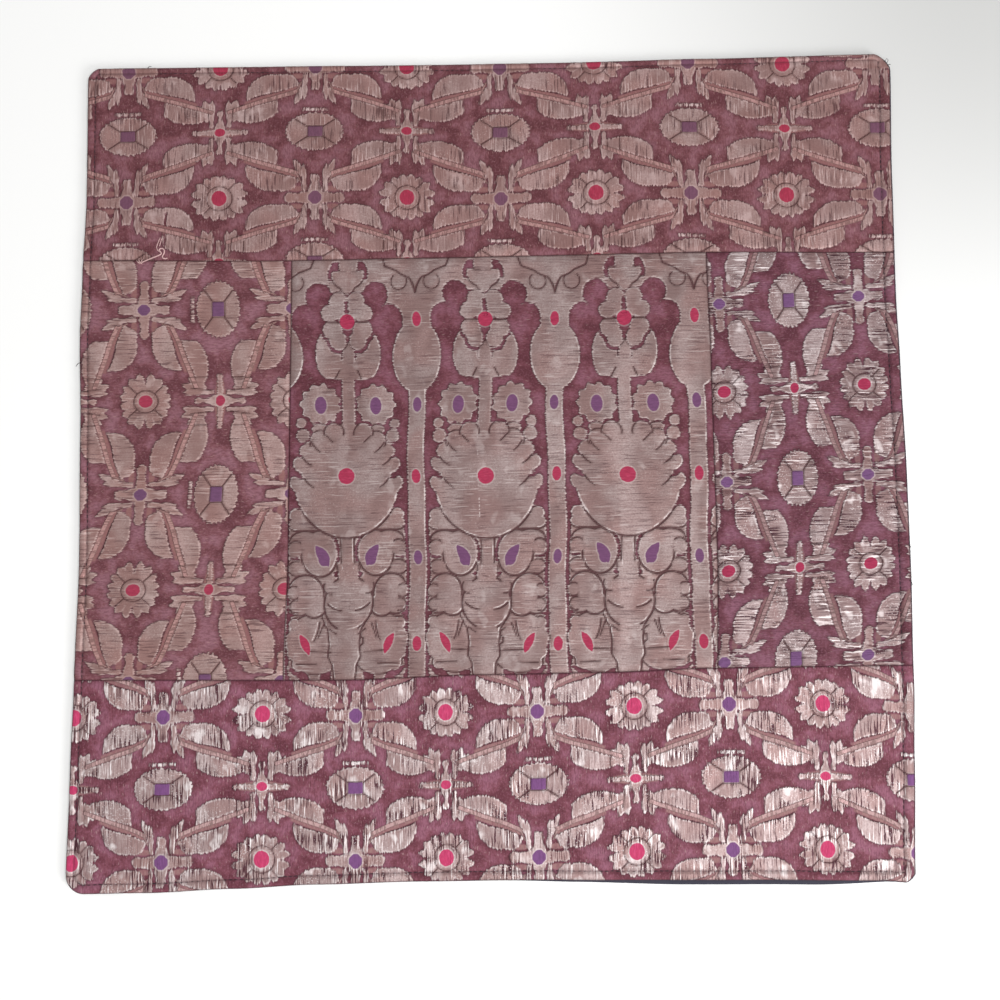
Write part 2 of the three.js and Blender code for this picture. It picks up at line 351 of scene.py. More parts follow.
def flower_shapes(x, y, ring_reach):
    """A disc in a light ring and a dark one, and sixteen petals in four groups."""
    radius = np.hypot(x, y)
    petals = ovals(
        x, y, (2.1, 8.1, 2.3, 3.6), (5.5, 7.3, 2.2, 3.3, -30),
        (8.7, 5.5, 3.4, 2.2, 33), (10.2, 2.4, 3.9, 2.1, 14),
    )
    flower = union(8.9 - radius, petals)
    teeth = 2.0 * (1 - saw(np.arctan2(y, x), 16))
    flower = meet(flower, 12.6 - np.hypot(x * 0.87, y) - teeth)
    disc = ring_reach - 2.3 - np.hypot(x * 1.06, y)
    ring = abs(radius - ring_reach) - 0.2
    in_petals = union(ring_reach - radius, radius - 11)
    slit = union(abs(x * 0.71 - y * 0.70) - 0.2, in_petals)
    return flower, disc, meet(ring, slit)


def oval_shapes(x, y, height):
    """An oval with a small oblong at its middle and four dark spokes, and the few light stitches that
    lie over it at a height."""
    reach = np.hypot(x / 14.8, y / 10.3)
    teeth = 0.07 * (1 - saw(np.arctan2(y / 10.0, x / 14.9), 30))
    rosette = (1 - reach - teeth) * 12
    oblong = box_shape(x, y, 0, 0, 3.4, 2.4) + 0.3
    outside = union(oblong, np.hypot(x, y) - 11.9)
    spoke = union(abs(y * 0.832 - x * 0.555) - 0.26, outside)
    line = meet(spoke, abs(oblong + 0.15) - 0.25)
    dashes = 0.95 - abs(np.mod(x, 2.7) - 1.35)
    stitches = meet(0.75 - abs(height - 11.7), dashes, 6.4 - x)
    return rosette, oblong, line, stitches


def purple_cross(x, y, broad):
    """An eye on two broad arms and two stalks, with round tips."""
    eye = broad + 0.3 - union(union(x, y * 0.95), (x + y) * 0.72)
    half_arm = broad - 0.7 * smooth_step(5, 9, x) + 0.35 * smooth_step(10, 12, x)
    arm = union(meet(13.0 - x, half_arm - y), oval(x, y, 12.4, 0, 2.4, broad - 0.3))
    waist = 1.6 + 1.8 * np.exp(-((y - 3.2) / 3.2) ** 2) + 0.7 * np.exp(-((y - 9.6) / 1.8) ** 2)
    stalk = meet(11.8 - y, waist - x)
    sprig = union(
        stroke(x, y, (5.0, 4.6), (5.5, 14.5), 1.2, 1.1), leaf(x, y, (5.2, 8.0), (5.7, 17.4), 1.4),
        leaf(x, y, (6.6, 10.0), (10.2, 19.8), 1.6, 0.5),
    )
    return arm, union(arm, stalk, sprig), eye


def red_cross(x, y):
    """A small eye on two thorns and two short bars with a knob, with the dark line in its sprigs."""
    eye = 2.3 - np.hypot(x * 0.85, y * 1.08)
    thorn = meet(13.6 - x, 1.7 - 0.06 * x - y)
    thorn = union(thorn, 1.3 - np.hypot(x - 12.2, y))
    waist = 0.8 + 2.0 * np.exp(-((y - 2.2) / 3.0) ** 2) + 0.8 * np.exp(-((y - 10) / 1.3) ** 2)
    bar = meet(11.5 - y, waist - x)
    sprig = union(
        stroke(x, y, (4.3, 3.8), (4.4, 13), 1.1, 1.2), leaf(x, y, (4.6, 7.0), (3.9, 17.0), 1.9, -0.3),
        leaf(x, y, (5.6, 6.0), (8.2, 17.6), 2.4, 0.6), leaf(x, y, (6.5, 6.0), (11.6, 14.5), 2.1, 0.4),
    )
    parting = union(abs(x - 5.8 - 0.12 * (y - 8)) - 0.16, abs(y - 9) - 4.5)
    crack = union(abs(x - 12.0) - 0.14, abs(y - 8.5) - 3.4)
    shade = meet(3.0 - 0.14 * x - y, x - 3, 11 - x)
    return union(thorn, bar, sprig), eye, meet(crack, parting), shade


def paired_leaf(a, b, slide):
    """A ribbed stem, one lobe above it towards the purple eye and one below it."""
    x = a - slide * smooth_step(8, 20, a)
    s, n = turned(x - 9.0, b - 12.6, 19.5)
    n = n - 0.5 * np.exp(-((s - 8) / 7) ** 2)
    upper = ovals(x, b, (18.5, 15.0, 12.6, 11.5), (13.6, 8.6, 4.9, 5.2))
    upper = meet(upper, -n - 2.4 - 0.9 * np.exp(-((s - 16) / 8) ** 2))
    lower = oval(x, b, 29.0, 17.6, 15.5, 11.6)
    lower = meet(lower, n - 1.3, x - 16.0, 40.3 - a)
    bead = 0.25 * saw(s / 1.5 * 2 * np.pi, 1)
    rib = meet(0.95 + bead - abs(n), s + 1.0, 33.5 - s)
    rib = union(rib, stroke(a, b, (9.0, 12.4), (6.9, 7.8), 0.6, 0.4))
    above_rib = meet(1.25 - 0.02 * abs(s - 12) - abs(n + 1.5), s + 1.0, 24 - s)
    below_rib = meet(0.5 - abs(n - 1.1), s - 8, 30 - s)
    shade = union(above_rib, oval(a, b, 9.0, 4.7, 4.0, 1.4), below_rib)
    under_lobe = union(abs(upper + 0.2) - 0.12, -n - 4.2, 4 - s, s - 21)
    return union(upper, lower), rib, shade, under_lobe


def lattice_fields(p, q, slide=0.0, broad=3.0, ring_reach=6.3, over=1):
    """The lattice of flowers, leaves and crosses. p and q run along the long and short repeat. slide
    moves the leaves towards the cross with the red eye, broad is half the width of that with the
    purple eye, ring_reach is the radius of a flower's dark ring, and over is the side of an oval
    that has the light stitches, 0 for none."""
    a = LONG_STEP * (1 - abs(1 - np.mod(p / LONG_STEP - 1, 2)))
    b = SHORT_STEP * (1 - abs(1 - np.mod(q / SHORT_STEP, 2)))
    from_flower = LONG_STEP - a
    from_red = SHORT_STEP - b
    height = (np.mod(q / SHORT_STEP, 2) - 1) * SHORT_STEP * over
    flower, disc, flower_line = flower_shapes(from_flower, b, ring_reach)
    rosette, oblong, oval_line, stitches = oval_shapes(a, from_red, height)
    arm, cross, eye = purple_cross(a, b, broad)
    small_cross, red_eye, cross_line, cross_shade = red_cross(from_flower, from_red)
    lobes, rib, leaf_shade, leaf_line = paired_leaf(a, b, slide)
    return {
        "zari": union(flower, rosette, stitches, cross, small_cross, lobes),
        "line": meet(flower_line, oval_line, cross_line, leaf_line),
        "red": union(disc, red_eye), "purple": union(oblong, eye),
        "rib": rib, "shade": union(leaf_shade, cross_shade), "gleam": stitches, "dull": arm,
    }


def paint(done, *layers):
    """Lays shapes over what is done. Each layer is a shape, half the width of the dark line that parts
    it from the metal under it, and any fields that are positive where this line is left out."""
    zari, line = done
    for shape, outline, *hide in layers:
        edge = union(abs(shape + 0.4) - outline, -zari, *hide)
        zari, line = union(zari, shape), meet(union(line, shape), edge)
    return zari, line


def stroke_lines(c, r, *rows):
    """Dark lines: negative inside strokes given by start, end, the two half widths and the bow."""
    return -union(*[stroke(c, r, *row) for row in rows])


def centre_shapes(c, r, d):
    """The shapes that are painted and then edged with painted highlights. c runs out from the middle of a
    column, d in from its border, and r down the chart."""
    low_bell = meet(oval(c, r, 0, 478.5, 52, 58.5), r - 483)
    disc_angle = np.arctan2(r - 403, c - 27.5)
    return {
        "vase": union(oval(d, r, 0, 355, 24.8, 36), meet(14.5 - d, 340 - r), 8.6 - d),
        "big_leaf": ovals(c, r, (20, 353, 12.8, 24), (15, 366, 12, 11)),
        "rosette": 19.3 + 1.5 * np.cos(disc_angle * 11) - np.hypot(c - 27.5, (r - 403) * 0.98),
        "last_leaf": ovals(
            c, r, (38, 640, 22, 27), (31, 655, 23, 17), (28, 625, 20, 14), (53, 622, 5.5, 6),
            (56, 637, 5, 7), (54, 651, 5, 6), (47, 662, 7, 7),
        ),
        "foot": along(FOOT, r) - 1,
        "low_leaf": ovals(c, r, (42, 592, 17, 19), (48, 602, 11, 11), (34, 603, 12, 12)),
        "urn": union(oval(c, r, 0, 602, 24, 26.5), box_shape(c, r, 0, 577, 10, 12)),
        "scroll": ovals(c, r, (27.5, 552, 17.5, 22.5), (42, 539, 14.5, 9.5)),
        "buds": union(
            ovals(c, r, (50, 513.5, 7.0, 6.6), (50.5, 522, 7.5, 6.2)), box_shape(c, r, 36, 521, 14, 7.5),
        ),
        "low_bell": low_bell,
        "blossom": union(low_bell, ovals(
            c, r, (0, 479, 45, 57), (38, 449, 11, 8.5, 25), (42, 464, 13, 8.5, -20),
            (44, 484, 13.5, 9, -30),
        )),
        "wedges": union(
            leaf(c, r, (57, 468), (41, 478), 2.0, -1.0), leaf(c, r, (55, 449), (44, 457), 1.6, -0.8),
            leaf(c, r, (54, 499), (46, 505), 1.4),
        ),
    }


def bare_ground(c, r, vase):
    """A ring round the bud, two lobes beside each flower, a channel down each side, and the small
    gaps between the lower plants, which fill their column."""
    channel = meet(-vase, r - 316)
    ring = meet(oval(c, r, 0, 273, 20.5, 18.5), c - 9.5, r - 260, 0.4 * (279 - r))
    lobes = ovals(c, r, (29, 294, 13, 13.5), (42, 317, 13.5, 14.5))
    ground = union(lobes, box_shape(c, r, 18, 314, 18, 24), channel, ring)
    filled = meet(57.5 + 1.2 * np.sin(r / 3.1) * smooth_step(600, 620, r) - c, r - 525)
    gaps = union(
        leaf(c, r, (12.5, 535), (9.0, 562), 3.4), box_shape(c, r, 52, 556, 4.5, 1.4),
        leaf(c, r, (20, 662), (23, 684), 5.5), leaf(c, r, (58, 665), (36, 678), 4.5),
        ovals(c, r, (10.5, 573, 4.0, 2.6), (58, 613, 4, 2.2), (57, 628, 2.5, 3.0)),
    )
    return union(meet(ground, -filled), np.where(r > 530, gaps, NOWHERE))


def upper_plant(done, c, r, side, shapes):
    """Bud, four petals, two big leaves and two round flowers on a stem, under a scalloped head."""
    head = stroke_lines(
        c, r, ((35, 257), (38, 266), 0.6, 0.6), ((38, 266), (50, 270.5), 0.6, 0.6),
        ((50, 270.5), (63, 277), 0.6, 0.6, 1.0), ((63, 277), (69.75, 292), 0.6, 0.9, -1.0),
    )
    pearl = union(abs(oval(c, r, 53, 281, 8, 8)) - 0.45, 275 - r)
    cup = meet(oval(c, r, 0, 273.5, 16.5, 13.5), r - 269.5)
    bud = union(cup, leaf(c, r, (0, 268), (0, 293), 9), meet(8.5 - c, 270 - r))
    stem = meet(6.5 - c, (r - 338) * 0.55 - c, 428 - r)
    stem = union(stem, meet(13.5 - c - 0.5 * (378 - r), 378 - r, r - 352))
    zari, line = paint(
        (done[0], meet(done[1], head, pearl)), (bud, 0.6, 268 - r, 3 - c),
        (shapes["big_leaf"], 0.6), (shapes["rosette"], 0.6, c - 30),
        (stem, 0.6, meet(r - 357, 368 - r), r - 420),
    )
    lower_petals = ovals(c, r, (14.8, 328, 9.8, 10), (9.6, 338.5, 8.6, 9.5))
    band = meet(1.3 + 0.05 * (r - 331) - abs(lower_petals + 1.2), r - 331, c - 6)
    upper_petals = ovals(c, r, (8.8, 299.5, 9.2, 9.5), (16.5, 311, 9.2, 8.5))
    upper_petals = union(upper_petals, box_shape(c, r, 8, 311, 6, 6))
    zari, line = paint((meet(zari, -band), line), (lower_petals, 0.3), (upper_petals, 0.5, r - 294))
    slits = union(abs(r - 319.5) - 0.7, 7 - c, c - 22)
    upright = meet(1.9 - abs(side + 0.5), abs(r - 320) - 6, 21 - abs(r - 320))
    return meet(zari, -upright), meet(line, slits)


def lower_plant(done, c, r, foot_side, shapes):
    """The lowest leaves, the urn on its foot and the scrolls over it."""
    zari, line = paint(
        done, (shapes["last_leaf"], 0.55), (meet(shapes["foot"] - foot_side, r - 606), 0.6),
        (shapes["low_leaf"], 0.7), (oval(c, r, 54, 590, 6, 6.2), 0.5, 50 - c),
        (oval(c, r, 52, 604, 6, 6), 0.5, 50 - c, c - 60), (shapes["urn"], 0.7, 10 - c, r - 627),
        (oval(c, r, 18.5, 585.5, 6, 6.5), 0.5, 24 - c - 0.6 * (r - 580)), (shapes["scroll"], 0.7),
        (oval(c, r, 50, 566, 8, 7), 0.6, 47 - c), (oval(c, r, 51, 547, 7.5, 8), 0.6, 46 - c, r - 552),
        (meet(6.3 - c, r - 530, 568 - r), 0.6, 536 - r, r - 562),
    )
    inner = stroke_lines(
        c, r, ((21, 602), (7, 609), 0.7, 0.5, -1.5), ((18, 627), (11, 632), 0.5, 0.4),
        ((28, 620), (33, 639), 0.6, 0.4, 1.0), ((36, 649), (16, 650), 0.5, 0.3),
        ((24, 622), (29, 636), 0.5, 0.3), ((50, 662), (30, 661.5), 0.4, 0.3),
    )
    return zari, meet(line, inner)


def big_blossom(done, c, r, shapes):
    """Buds at its foot, scalloped lobes down its sides and a scalloped top."""
    zari, line = paint(
        done, (shapes["buds"], 0.6), (oval(c, r, 47, 422, 5.2, 5.2), 0.5),
        (oval(c, r, 45.5, 434.5, 6.8, 6.8), 0.5), (oval(c, r, 29, 428, 8, 5), 0.6),
        (shapes["blossom"], 0.7, 500 - r),
        (oval(c, r, 28, 440, 10.5, 10.5), 0.55, r - 445, r - 441 + 0.8 * (20 - c)),
        (oval(c, r, 15, 431.5, 9.5, 9.5), 0.55, r - 434),
    )
    lobes = stroke_lines(
        c, r, ((37, 441), (28, 451), 0.6, 0.4, -0.8), ((45, 456), (36, 464), 0.7, 0.4, -0.8),
        ((42, 477), (33, 486), 0.7, 0.4, -0.8), ((16, 441), (23, 434), 0.5, 0.4),
    )
    return meet(zari, -shapes["wedges"]), meet(line, lobes)


def painted_highlight_edges(c, r, side, foot_side, shapes):
    """Painted highlights along some edges, where the metal threads turn."""
    left_half = side < 0
    rims = union(shapes["last_leaf"], shapes["low_leaf"], shapes["buds"])
    return union(
        meet(0.6 - abs(shapes["vase"] - 0.6), r - 330, 396 - r + 400 * left_half),
        meet(0.6 - abs(shapes["low_bell"] - 1.4), c - 8, r - 494),
        meet(0.5 - abs(c - 5.2), r - 538, 568 - r),
        meet(0.6 - abs(shapes["foot"] - foot_side - 1.2), r - 612),
        meet(0.6 - abs(shapes["low_leaf"] - 1.4), 34 - c),
        meet(0.45 - abs(shapes["urn"] - 1.3), r - 600 - 24 * left_half),
        meet(0.5 - abs(shapes["scroll"] - 1.5), union(meet(22 - c, r - 530), r - 558)),
        meet(0.5 - abs(rims - 0.7), c - 49),
        meet(0.5 - abs(shapes["blossom"] - 0.7), c - 40, r - 455, -shapes["wedges"] - 0.6),
        meet(0.5 - abs(shapes["rosette"] - 0.8), c - 38),
        meet(0.5 - abs(shapes["big_leaf"] - 0.8), c - 24),
        stroke(c, r, (20, 600.5), (7, 607.5), 0.6, 0.5, -1.5),
        stroke(c, r, (30, 620), (35, 639), 0.5, 0.4, 1.0),
    )


def centre_fields(x, y):
    """The end piece: plants in columns, with vases on staves between them."""
    r = np.interp(y, [row[0] for row in CHART_ROWS], [row[1] for row in CHART_ROWS])
    column = np.interp(x, COLUMN_PLACES, [CHART_STEP * count for count in (-2, -1, 0, 1, 2)])
    column = column + 0.9 * np.sin(r / 31 + x / 40) + 0.5 * np.sin(r / 13 + x / 23)
    r = r + 0.8 * np.sin(x / 17 + y / 29)
    side = np.mod(column + CHART_STEP / 2, CHART_STEP) - CHART_STEP / 2
    c = abs(side)
    d = CHART_STEP / 2 - c
    foot_side = abs(side + 3)
    shapes = centre_shapes(c, r, d)
    done = (-bare_ground(c, r, shapes["vase"]), np.full_like(r, -NOWHERE))
    done = upper_plant(done, c, r, side, shapes)
    done = lower_plant(done, c, r, foot_side, shapes)
    zari, line = big_blossom(done, c, r, shapes)
    dots = union(7.5 - np.hypot(c, r - 319.5), 8.1 - np.hypot(c, r - 475.5))
    beads = ovals(d, r, (0, 318.5, 4.4, 7.2), (0, 475, 4.4, 7.2), (0, 643.5, 4.5, 7.4))
    red = union(dots, beads, leaf(c, r, (47, 632), (37, 653), 4.0, 1.0))
    purple = union(
        ovals(c, r, (27.5, 404, 5.8, 8.8), (22.8, 557.5, 5.6, 7.0)),
        ovals(d, r, (0, 403, 4.4, 7.4), (0, 557, 4.2, 7.2)), leaf(c, r, (31.0, 544), (18.5, 565), 5.2, 1.0),
    )
    # gleam: painted highlights along edges of the metal, and along a fold crease
    gleam = painted_highlight_edges(c, r, side, foot_side, shapes) * CHART_MM
    crease = meet(0.3 - abs(x + 5.6 + 0.02 * y), 26 - abs(y + 1), 0.1 + 0.4 * np.sin(y * 3.7))
    nowhere = np.full_like(x, NOWHERE)
    return {
        "zari": zari * CHART_MM, "line": line * CHART_MM, "red": red * CHART_MM,
        "purple": purple * CHART_MM, "gleam": union(gleam, crease),
        "rib": nowhere, "shade": nowhere, "dull": nowhere,
    }


def stepped(value, places, first, step):
    """Distance along the lattice, from where its half steps fall on a panel. first is the number of
    the first of these places, and step their distance in the pattern."""
    numbers = (np.arange(len(places)) + first) * step
    places = np.array(places, float)
    inner = np.interp(value, places, numbers)
    low_slope = step / (places[1] - places[0])
    high_slope = step / (places[-1] - places[-2])
    inner = np.where(value < places[0], numbers[0] + (value - places[0]) * low_slope, inner)
    return np.where(value > places[-1], numbers[-1] + (value - places[-1]) * high_slope, inner)


def top_fields(x, y):
    columns = [-181.2, -134.6, -86.3, -40.1, 7.0, 54.7, 102.2, 149.9, 196.5]
    drift = np.interp(x, columns, [-0.6, 0.85, 0.95, 0.3, -1.2, 1.45, 0.6, -1.1, -1.2])
    p = stepped(x, columns, -1, LONG_STEP)
    q = stepped(y - drift, [101, 133.6, 168.0, 201.6], -1, SHORT_STEP)
    fields = lattice_fields(p, q, 2.5)
    # No purple eye in the corner, and a slit in the metal beside the snagged thread
    fields["purple"] = np.where((x > 190) & (y > 190), NOWHERE, fields["purple"])
    slit = union(abs(x + 161.7 - 0.05 * (y - 119)) - 0.7, abs(y - 119.3) - 8.5)
    fields["zari"] = meet(fields["zari"], slit)
    return fields


def bottom_fields(x, y):
    columns = [-201.8, -158.8, -110.5, -65.6, -22.3, 21.8, 68.6, 114.2, 159.2, 201.5]
    drift = np.interp(x, columns, [-1.9, -1.9, -0.7, -2.0, -0.7, -0.8, 1.5, 1.9, 1.8, -0.6])
    p = stepped(x, columns, -2, LONG_STEP)
    q = stepped(y - drift, [-189.0, -154.7, -120.5, -86.5], -2, SHORT_STEP)
    fields = lattice_fields(p, q)
    fields["purple"] = np.where((x > 190) & (y > -140), NOWHERE, fields["purple"])
    return fields


def left_fields(x, y):
    heights = [-105.5, -61.2, -14.5, 31.9, 78.0]
    drift = np.interp(y, heights, [-4.5, -3.0, 0, 1.8, 0])
    p = stepped(y, heights, -3, LONG_STEP)
    q = stepped(x - drift, [-171.5, -134.4, -97.3], 0, SHORT_STEP)
    return lattice_fields(p, q, 0.0, 2.5, 5.6, over=-1)


def right_fields(x, y):
    heights = [-97.2, -53.3, -9.9, 34.8, 79.0]
    drift = np.interp(y, heights, [-3.0, 0.3, 0.6, 0.5, -0.8])
    p = stepped(y - 0.045 * (x - 150), heights, -3, LONG_STEP)
    q = stepped(x - drift, [115.5, 150.0, 184.5], 0, SHORT_STEP)
    return lattice_fields(p, q, 0.0, 2.5, 5.6, over=0)


FIELDS = {
    "panel_top": top_fields, "panel_bottom": bottom_fields, "panel_left": left_fields,
    "panel_right": right_fields, "panel_centre": centre_fields,
}


def put_in_scene(name, data):
    placed = bpy.data.objects.new(name, data)
    bpy.context.scene.collection.objects.link(placed)
    return placed


def sheet_mesh(name, x, y, high, low, fields):
    """A closed sheet: a fine face over a grid, walls round it and one flat underside."""
    tall, wide = x.shape
    top = np.stack([x.ravel(), y.ravel(), high.ravel()], 1)
    index = np.arange(tall * wide).reshape(tall, wide)
    ring = np.concatenate([index[0, :-1], index[:-1, -1], index[-1, :0:-1], index[:0:-1, 0]])
    under = top[ring].copy()
    under[:, 2] = low
    points = np.concatenate([top, under]) * MM
    a, b = index[:-1, :-1].ravel(), index[:-1, 1:].ravel()
    c, d = index[1:, 1:].ravel(), index[1:, :-1].ravel()
    quads = np.stack([a, b, c, d], 1)
    count = len(ring)
    lower = tall * wide + np.arange(count)
    walls = np.stack([ring, lower, np.roll(lower, -1), np.roll(ring, -1)], 1)
    faces = quads.tolist() + walls.tolist() + [lower[::-1].tolist()]
    mesh = bpy.data.meshes.new(name)
    mesh.from_pydata(points.tolist(), [], faces)
    smooth = np.zeros(len(faces), bool)
    smooth[:len(quads)] = True
    mesh.polygons.foreach_set("use_smooth", smooth)
    for key, values in fields.items():
        layer = mesh.attributes.new(key, "FLOAT", "POINT")
        spread = np.concatenate([values.ravel(), values.ravel()[ring]])
        layer.data.foreach_set("value", spread.astype(np.float32))
    # The map gives the face the most room, with the walls and the underside in strips above it
    across = np.tile(np.linspace(0.01, 0.99, wide), tall)
    up = np.repeat(np.linspace(0.01, 0.84, tall), wide)
    face_uv = np.stack([across, up], 1)
    low_x, low_y = points[lower, 0], points[lower, 1]
    lower_uv = np.stack([
        0.01 + 0.98 * (low_x - low_x.min()) / np.ptp(low_x),
        0.93 + 0.06 * (low_y - low_y.min()) / np.ptp(low_y),
    ], 1)
    ring_at = np.linspace(0.01, 0.99, count + 1)
    corners = ((ring_at[:-1], 0.90), (ring_at[:-1], 0.87), (ring_at[1:], 0.87), (ring_at[1:], 0.90))
    wall_uv = np.stack([np.stack([at, np.full(count, height)], 1) for at, height in corners], 1)
    uv = np.concatenate([face_uv[quads.ravel()], wall_uv.reshape(-1, 2), lower_uv[::-1]])
    mesh.uv_layers.new(name="OFBake").data.foreach_set("uv", uv.astype(np.float32).ravel())
    return put_in_scene(name, mesh)


def ripple(x, y):
    """Low unevenness of a handled cloth, from a few seeded waves."""
    draw = np.random.default_rng(11)
    rise = np.zeros_like(x)
    for _ in range(RIPPLE_WAVES):
        length = draw.uniform(14, 60)
        turn = draw.uniform(0, 2 * np.pi)
        phase = draw.uniform(0, 2 * np.pi)
        rise += np.sin((x * np.cos(turn) + y * np.sin(turn)) * 2 * np.pi / length + phase) * length / 60
    return rise / 7.0


def face_height(x, y, rim, seamed, woven=0.0):
    """Height of the front's face, from the distances to the outer edge and to the nearest seam."""
    edge = meet(rim, seamed)
    wave = np.sin((x + y) * 2 * np.pi / PUCKER_LENGTH + 2 * np.sin((x - y) / 9))
    pucker = np.exp(-((rim - PUCKER_INSET) / PUCKER_REACH) ** 2) * wave
    lift = fold_rise(x, y) * meet(1, edge / FOLD_FADE)
    lift = lift + ripple(x, y) * RIPPLE_RISE * meet(1, edge / RIPPLE_FADE)
    shaped = union(-DEEPEST, along(RIM_PROFILE, rim) + along(SEAM_PROFILE, seamed))
    return LEVEL + FRONT_THICK + lift + shaped + WOVEN_RISE * woven + PUCKER_RISE * pucker


def build_panel(name):
    borders, rims = PANELS[name]
    size = middle_size(borders)
    cell = CUTS[name][2] * 1
    u, v = np.meshgrid(
        np.linspace(0, size[0], round(size[0] / cell) + 1),
        np.linspace(0, size[1], round(size[1] / cell) + 1),
    )
    x, y = cloth_point(borders, rims, size, u, v)
    to_side = {"left": u, "right": size[0] - u, "bottom": v, "top": size[1] - v}
    far = np.full_like(u, HALF)
    rim = meet(far, *[to_side[side] * STITCH_INSET / STITCH_AT[side] for side in rims])
    seamed = meet(far, *[to_side[side] for side in ALL_SIDES if side not in rims])
    fields = FIELDS[name](x, y)
    woven = smooth_step(-0.3, 0.4, fields["zari"]) * smooth_step(0.0, 0.5, fields["line"])
    high = face_height(x, y, rim, seamed, woven)
    fields["rim"] = rim
    fields["seam"] = seamed
    return sheet_mesh(name + "_cloth", x, y, high, LEVEL, fields)


def tubes(name, runs, sides=6):
    """One mesh of thin tubes. Each run is its points, with its radius at each point."""
    points, faces = [], []
    for path, radii in runs:
        path = np.array(path, float)
        run = np.gradient(path, axis=0)
        run /= np.linalg.norm(run, axis=1)[:, None]
        beside = np.cross(run, (0.0, 0.0, 1.0))
        beside /= np.linalg.norm(beside, axis=1)[:, None]
        above = np.cross(beside, run)
        first = len(points)
        for at, side, lift, radius in zip(path, beside, above, radii):
            for k in range(sides):
                angle = 2 * math.pi * k / sides
                points.append((at + radius * (math.cos(angle) * side + math.sin(angle) * lift)) * MM)
        for ring in range(len(path) - 1):
            for k in range(sides):
                a = first + ring * sides + k
                b = first + ring * sides + (k + 1) % sides
                faces.append((a, b, b + sides, a + sides))
        faces.append([first + k for k in reversed(range(sides))])
        faces.append([first + (len(path) - 1) * sides + k for k in range(sides)])
    mesh = bpy.data.meshes.new(name)
    mesh.from_pydata([tuple(point) for point in points], [], faces)
    mesh.polygons.foreach_set("use_smooth", [len(face) == 4 for face in faces])
    return put_in_scene(name, mesh)


def seam_distance(x, y):
    """Distance to the nearest seam between two panels, near the outer edge."""
    return meet(abs(y - along(TOP_SEAM, x)), abs(y - along(BOTTOM_SEAM, x)))


def build_topstitch():
    """A row of small stitches that sinks into its groove all round the front."""
    size = middle_size(outer)
    left, right = STITCH_AT["left"], size[0] - STITCH_AT["right"]
    bottom, top = STITCH_AT["bottom"], size[1] - STITCH_AT["top"]
    corners = [(left, bottom), (right, bottom), (right, top), (left, top), (left, bottom)]
    walk = []
    for start, end in zip(corners, corners[1:]):
        walk.append(np.linspace(start, end, SIDE_POINTS, endpoint=False))
    u, v = np.concatenate(walk).T
    x, y = cloth_point(outer, ALL_SIDES, size, u, v)
    x, y = np.append(x, x[0]), np.append(y, y[0])
    walked = np.concatenate([[0], np.cumsum(np.hypot(np.diff(x), np.diff(y)))])
    draw = np.random.default_rng(5)
    count = round(walked[-1] / STITCH_PITCH)
    runs = []
    for k in range(count):
        begin = (k + 0.08 + draw.uniform(-0.05, 0.05)) / count * walked[-1]
        end = (k + 0.96 + draw.uniform(-0.05, 0.05)) / count * walked[-1]
        at = np.linspace(begin, end, 5)
        px, py = np.interp(at, walked, x), np.interp(at, walked, y)
        sway = draw.uniform(-0.12, 0.12)
        base = face_height(px, py, np.full(5, STITCH_INSET), seam_distance(px, py))
        lift = np.array([-0.18, 0.06, 0.12, 0.06, -0.18])
        path = np.stack([px + sway, py + sway, base + lift], 1)
        runs.append((path, [0.12, 0.18, 0.20, 0.18, 0.12]))
    return tubes("topstitch", runs)


def curl(points, radius):
    """A smooth thread through a few points, thinner at its ends."""
    points = np.array(points, float)
    at = np.linspace(0, len(points) - 1, 8 * (len(points) - 1) + 1)
    smooth = []
    for value in at:
        k = min(int(value), len(points) - 2)
        t = value - k
        p0, p1 = points[max(k - 1, 0)], points[k]
        p2, p3 = points[k + 1], points[min(k + 2, len(points) - 1)]
        smooth.append(0.5 * (
            2 * p1 + (p2 - p0) * t + (2 * p0 - 5 * p1 + 4 * p2 - p3) * t ** 2
            + (3 * p1 - p0 - 3 * p2 + p3) * t ** 3
        ))
    return smooth, [radius * (0.6 if k in (0, len(at) - 1) else 1.0) for k in range(len(at))]


def build_snag():
    """A metal thread that a snag has pulled out of the top band, near the left seam."""
    main = [
        (-175.2, 102.4, 2.5), (-173.4, 102.0, 3.2), (-171.3, 102.8, 3.4), (-167.8, 104.2, 3.5),
        (-163.8, 105.7, 3.7), (-163.0, 106.4, 3.8), (-163.3, 107.3, 3.8), (-164.0, 107.9, 3.8),
        (-163.6, 108.8, 3.8), (-162.4, 109.0, 3.8), (-161.5, 108.1, 3.8), (-161.6, 106.6, 3.6),
        (-162.4, 105.3, 3.4), (-162.2, 104.3, 3.4), (-161.0, 104.0, 3.2), (-160.2, 104.4, 2.7),
    ]
    strands = [
        [
            (-164.0, 115.0, 2.6), (-164.8, 112.0, 3.4), (-165.4, 109.8, 3.5),
            (-164.8, 108.2, 3.7), (-163.8, 107.4, 3.5),
        ],
        [(-163.2, 114.6, 2.6), (-163.6, 112.0, 3.3), (-164.0, 110.2, 3.5)],
    ]
    tuft = [
        [(-175.8, 103.4, 2.4), (-174.6, 102.4, 3.2), (-172.6, 101.6, 2.6)],
        [(-174.4, 104.6, 2.5), (-174.2, 103.1, 3.2), (-173.4, 101.6, 2.6)],
        [(-172.6, 104.0, 2.6), (-172.9, 102.9, 3.3), (-174.4, 101.6, 2.6)],
    ]
    runs = [curl(main, 0.33)] + [curl(points, 0.22) for points in strands + tuft]
    return tubes("snagged_thread", runs)


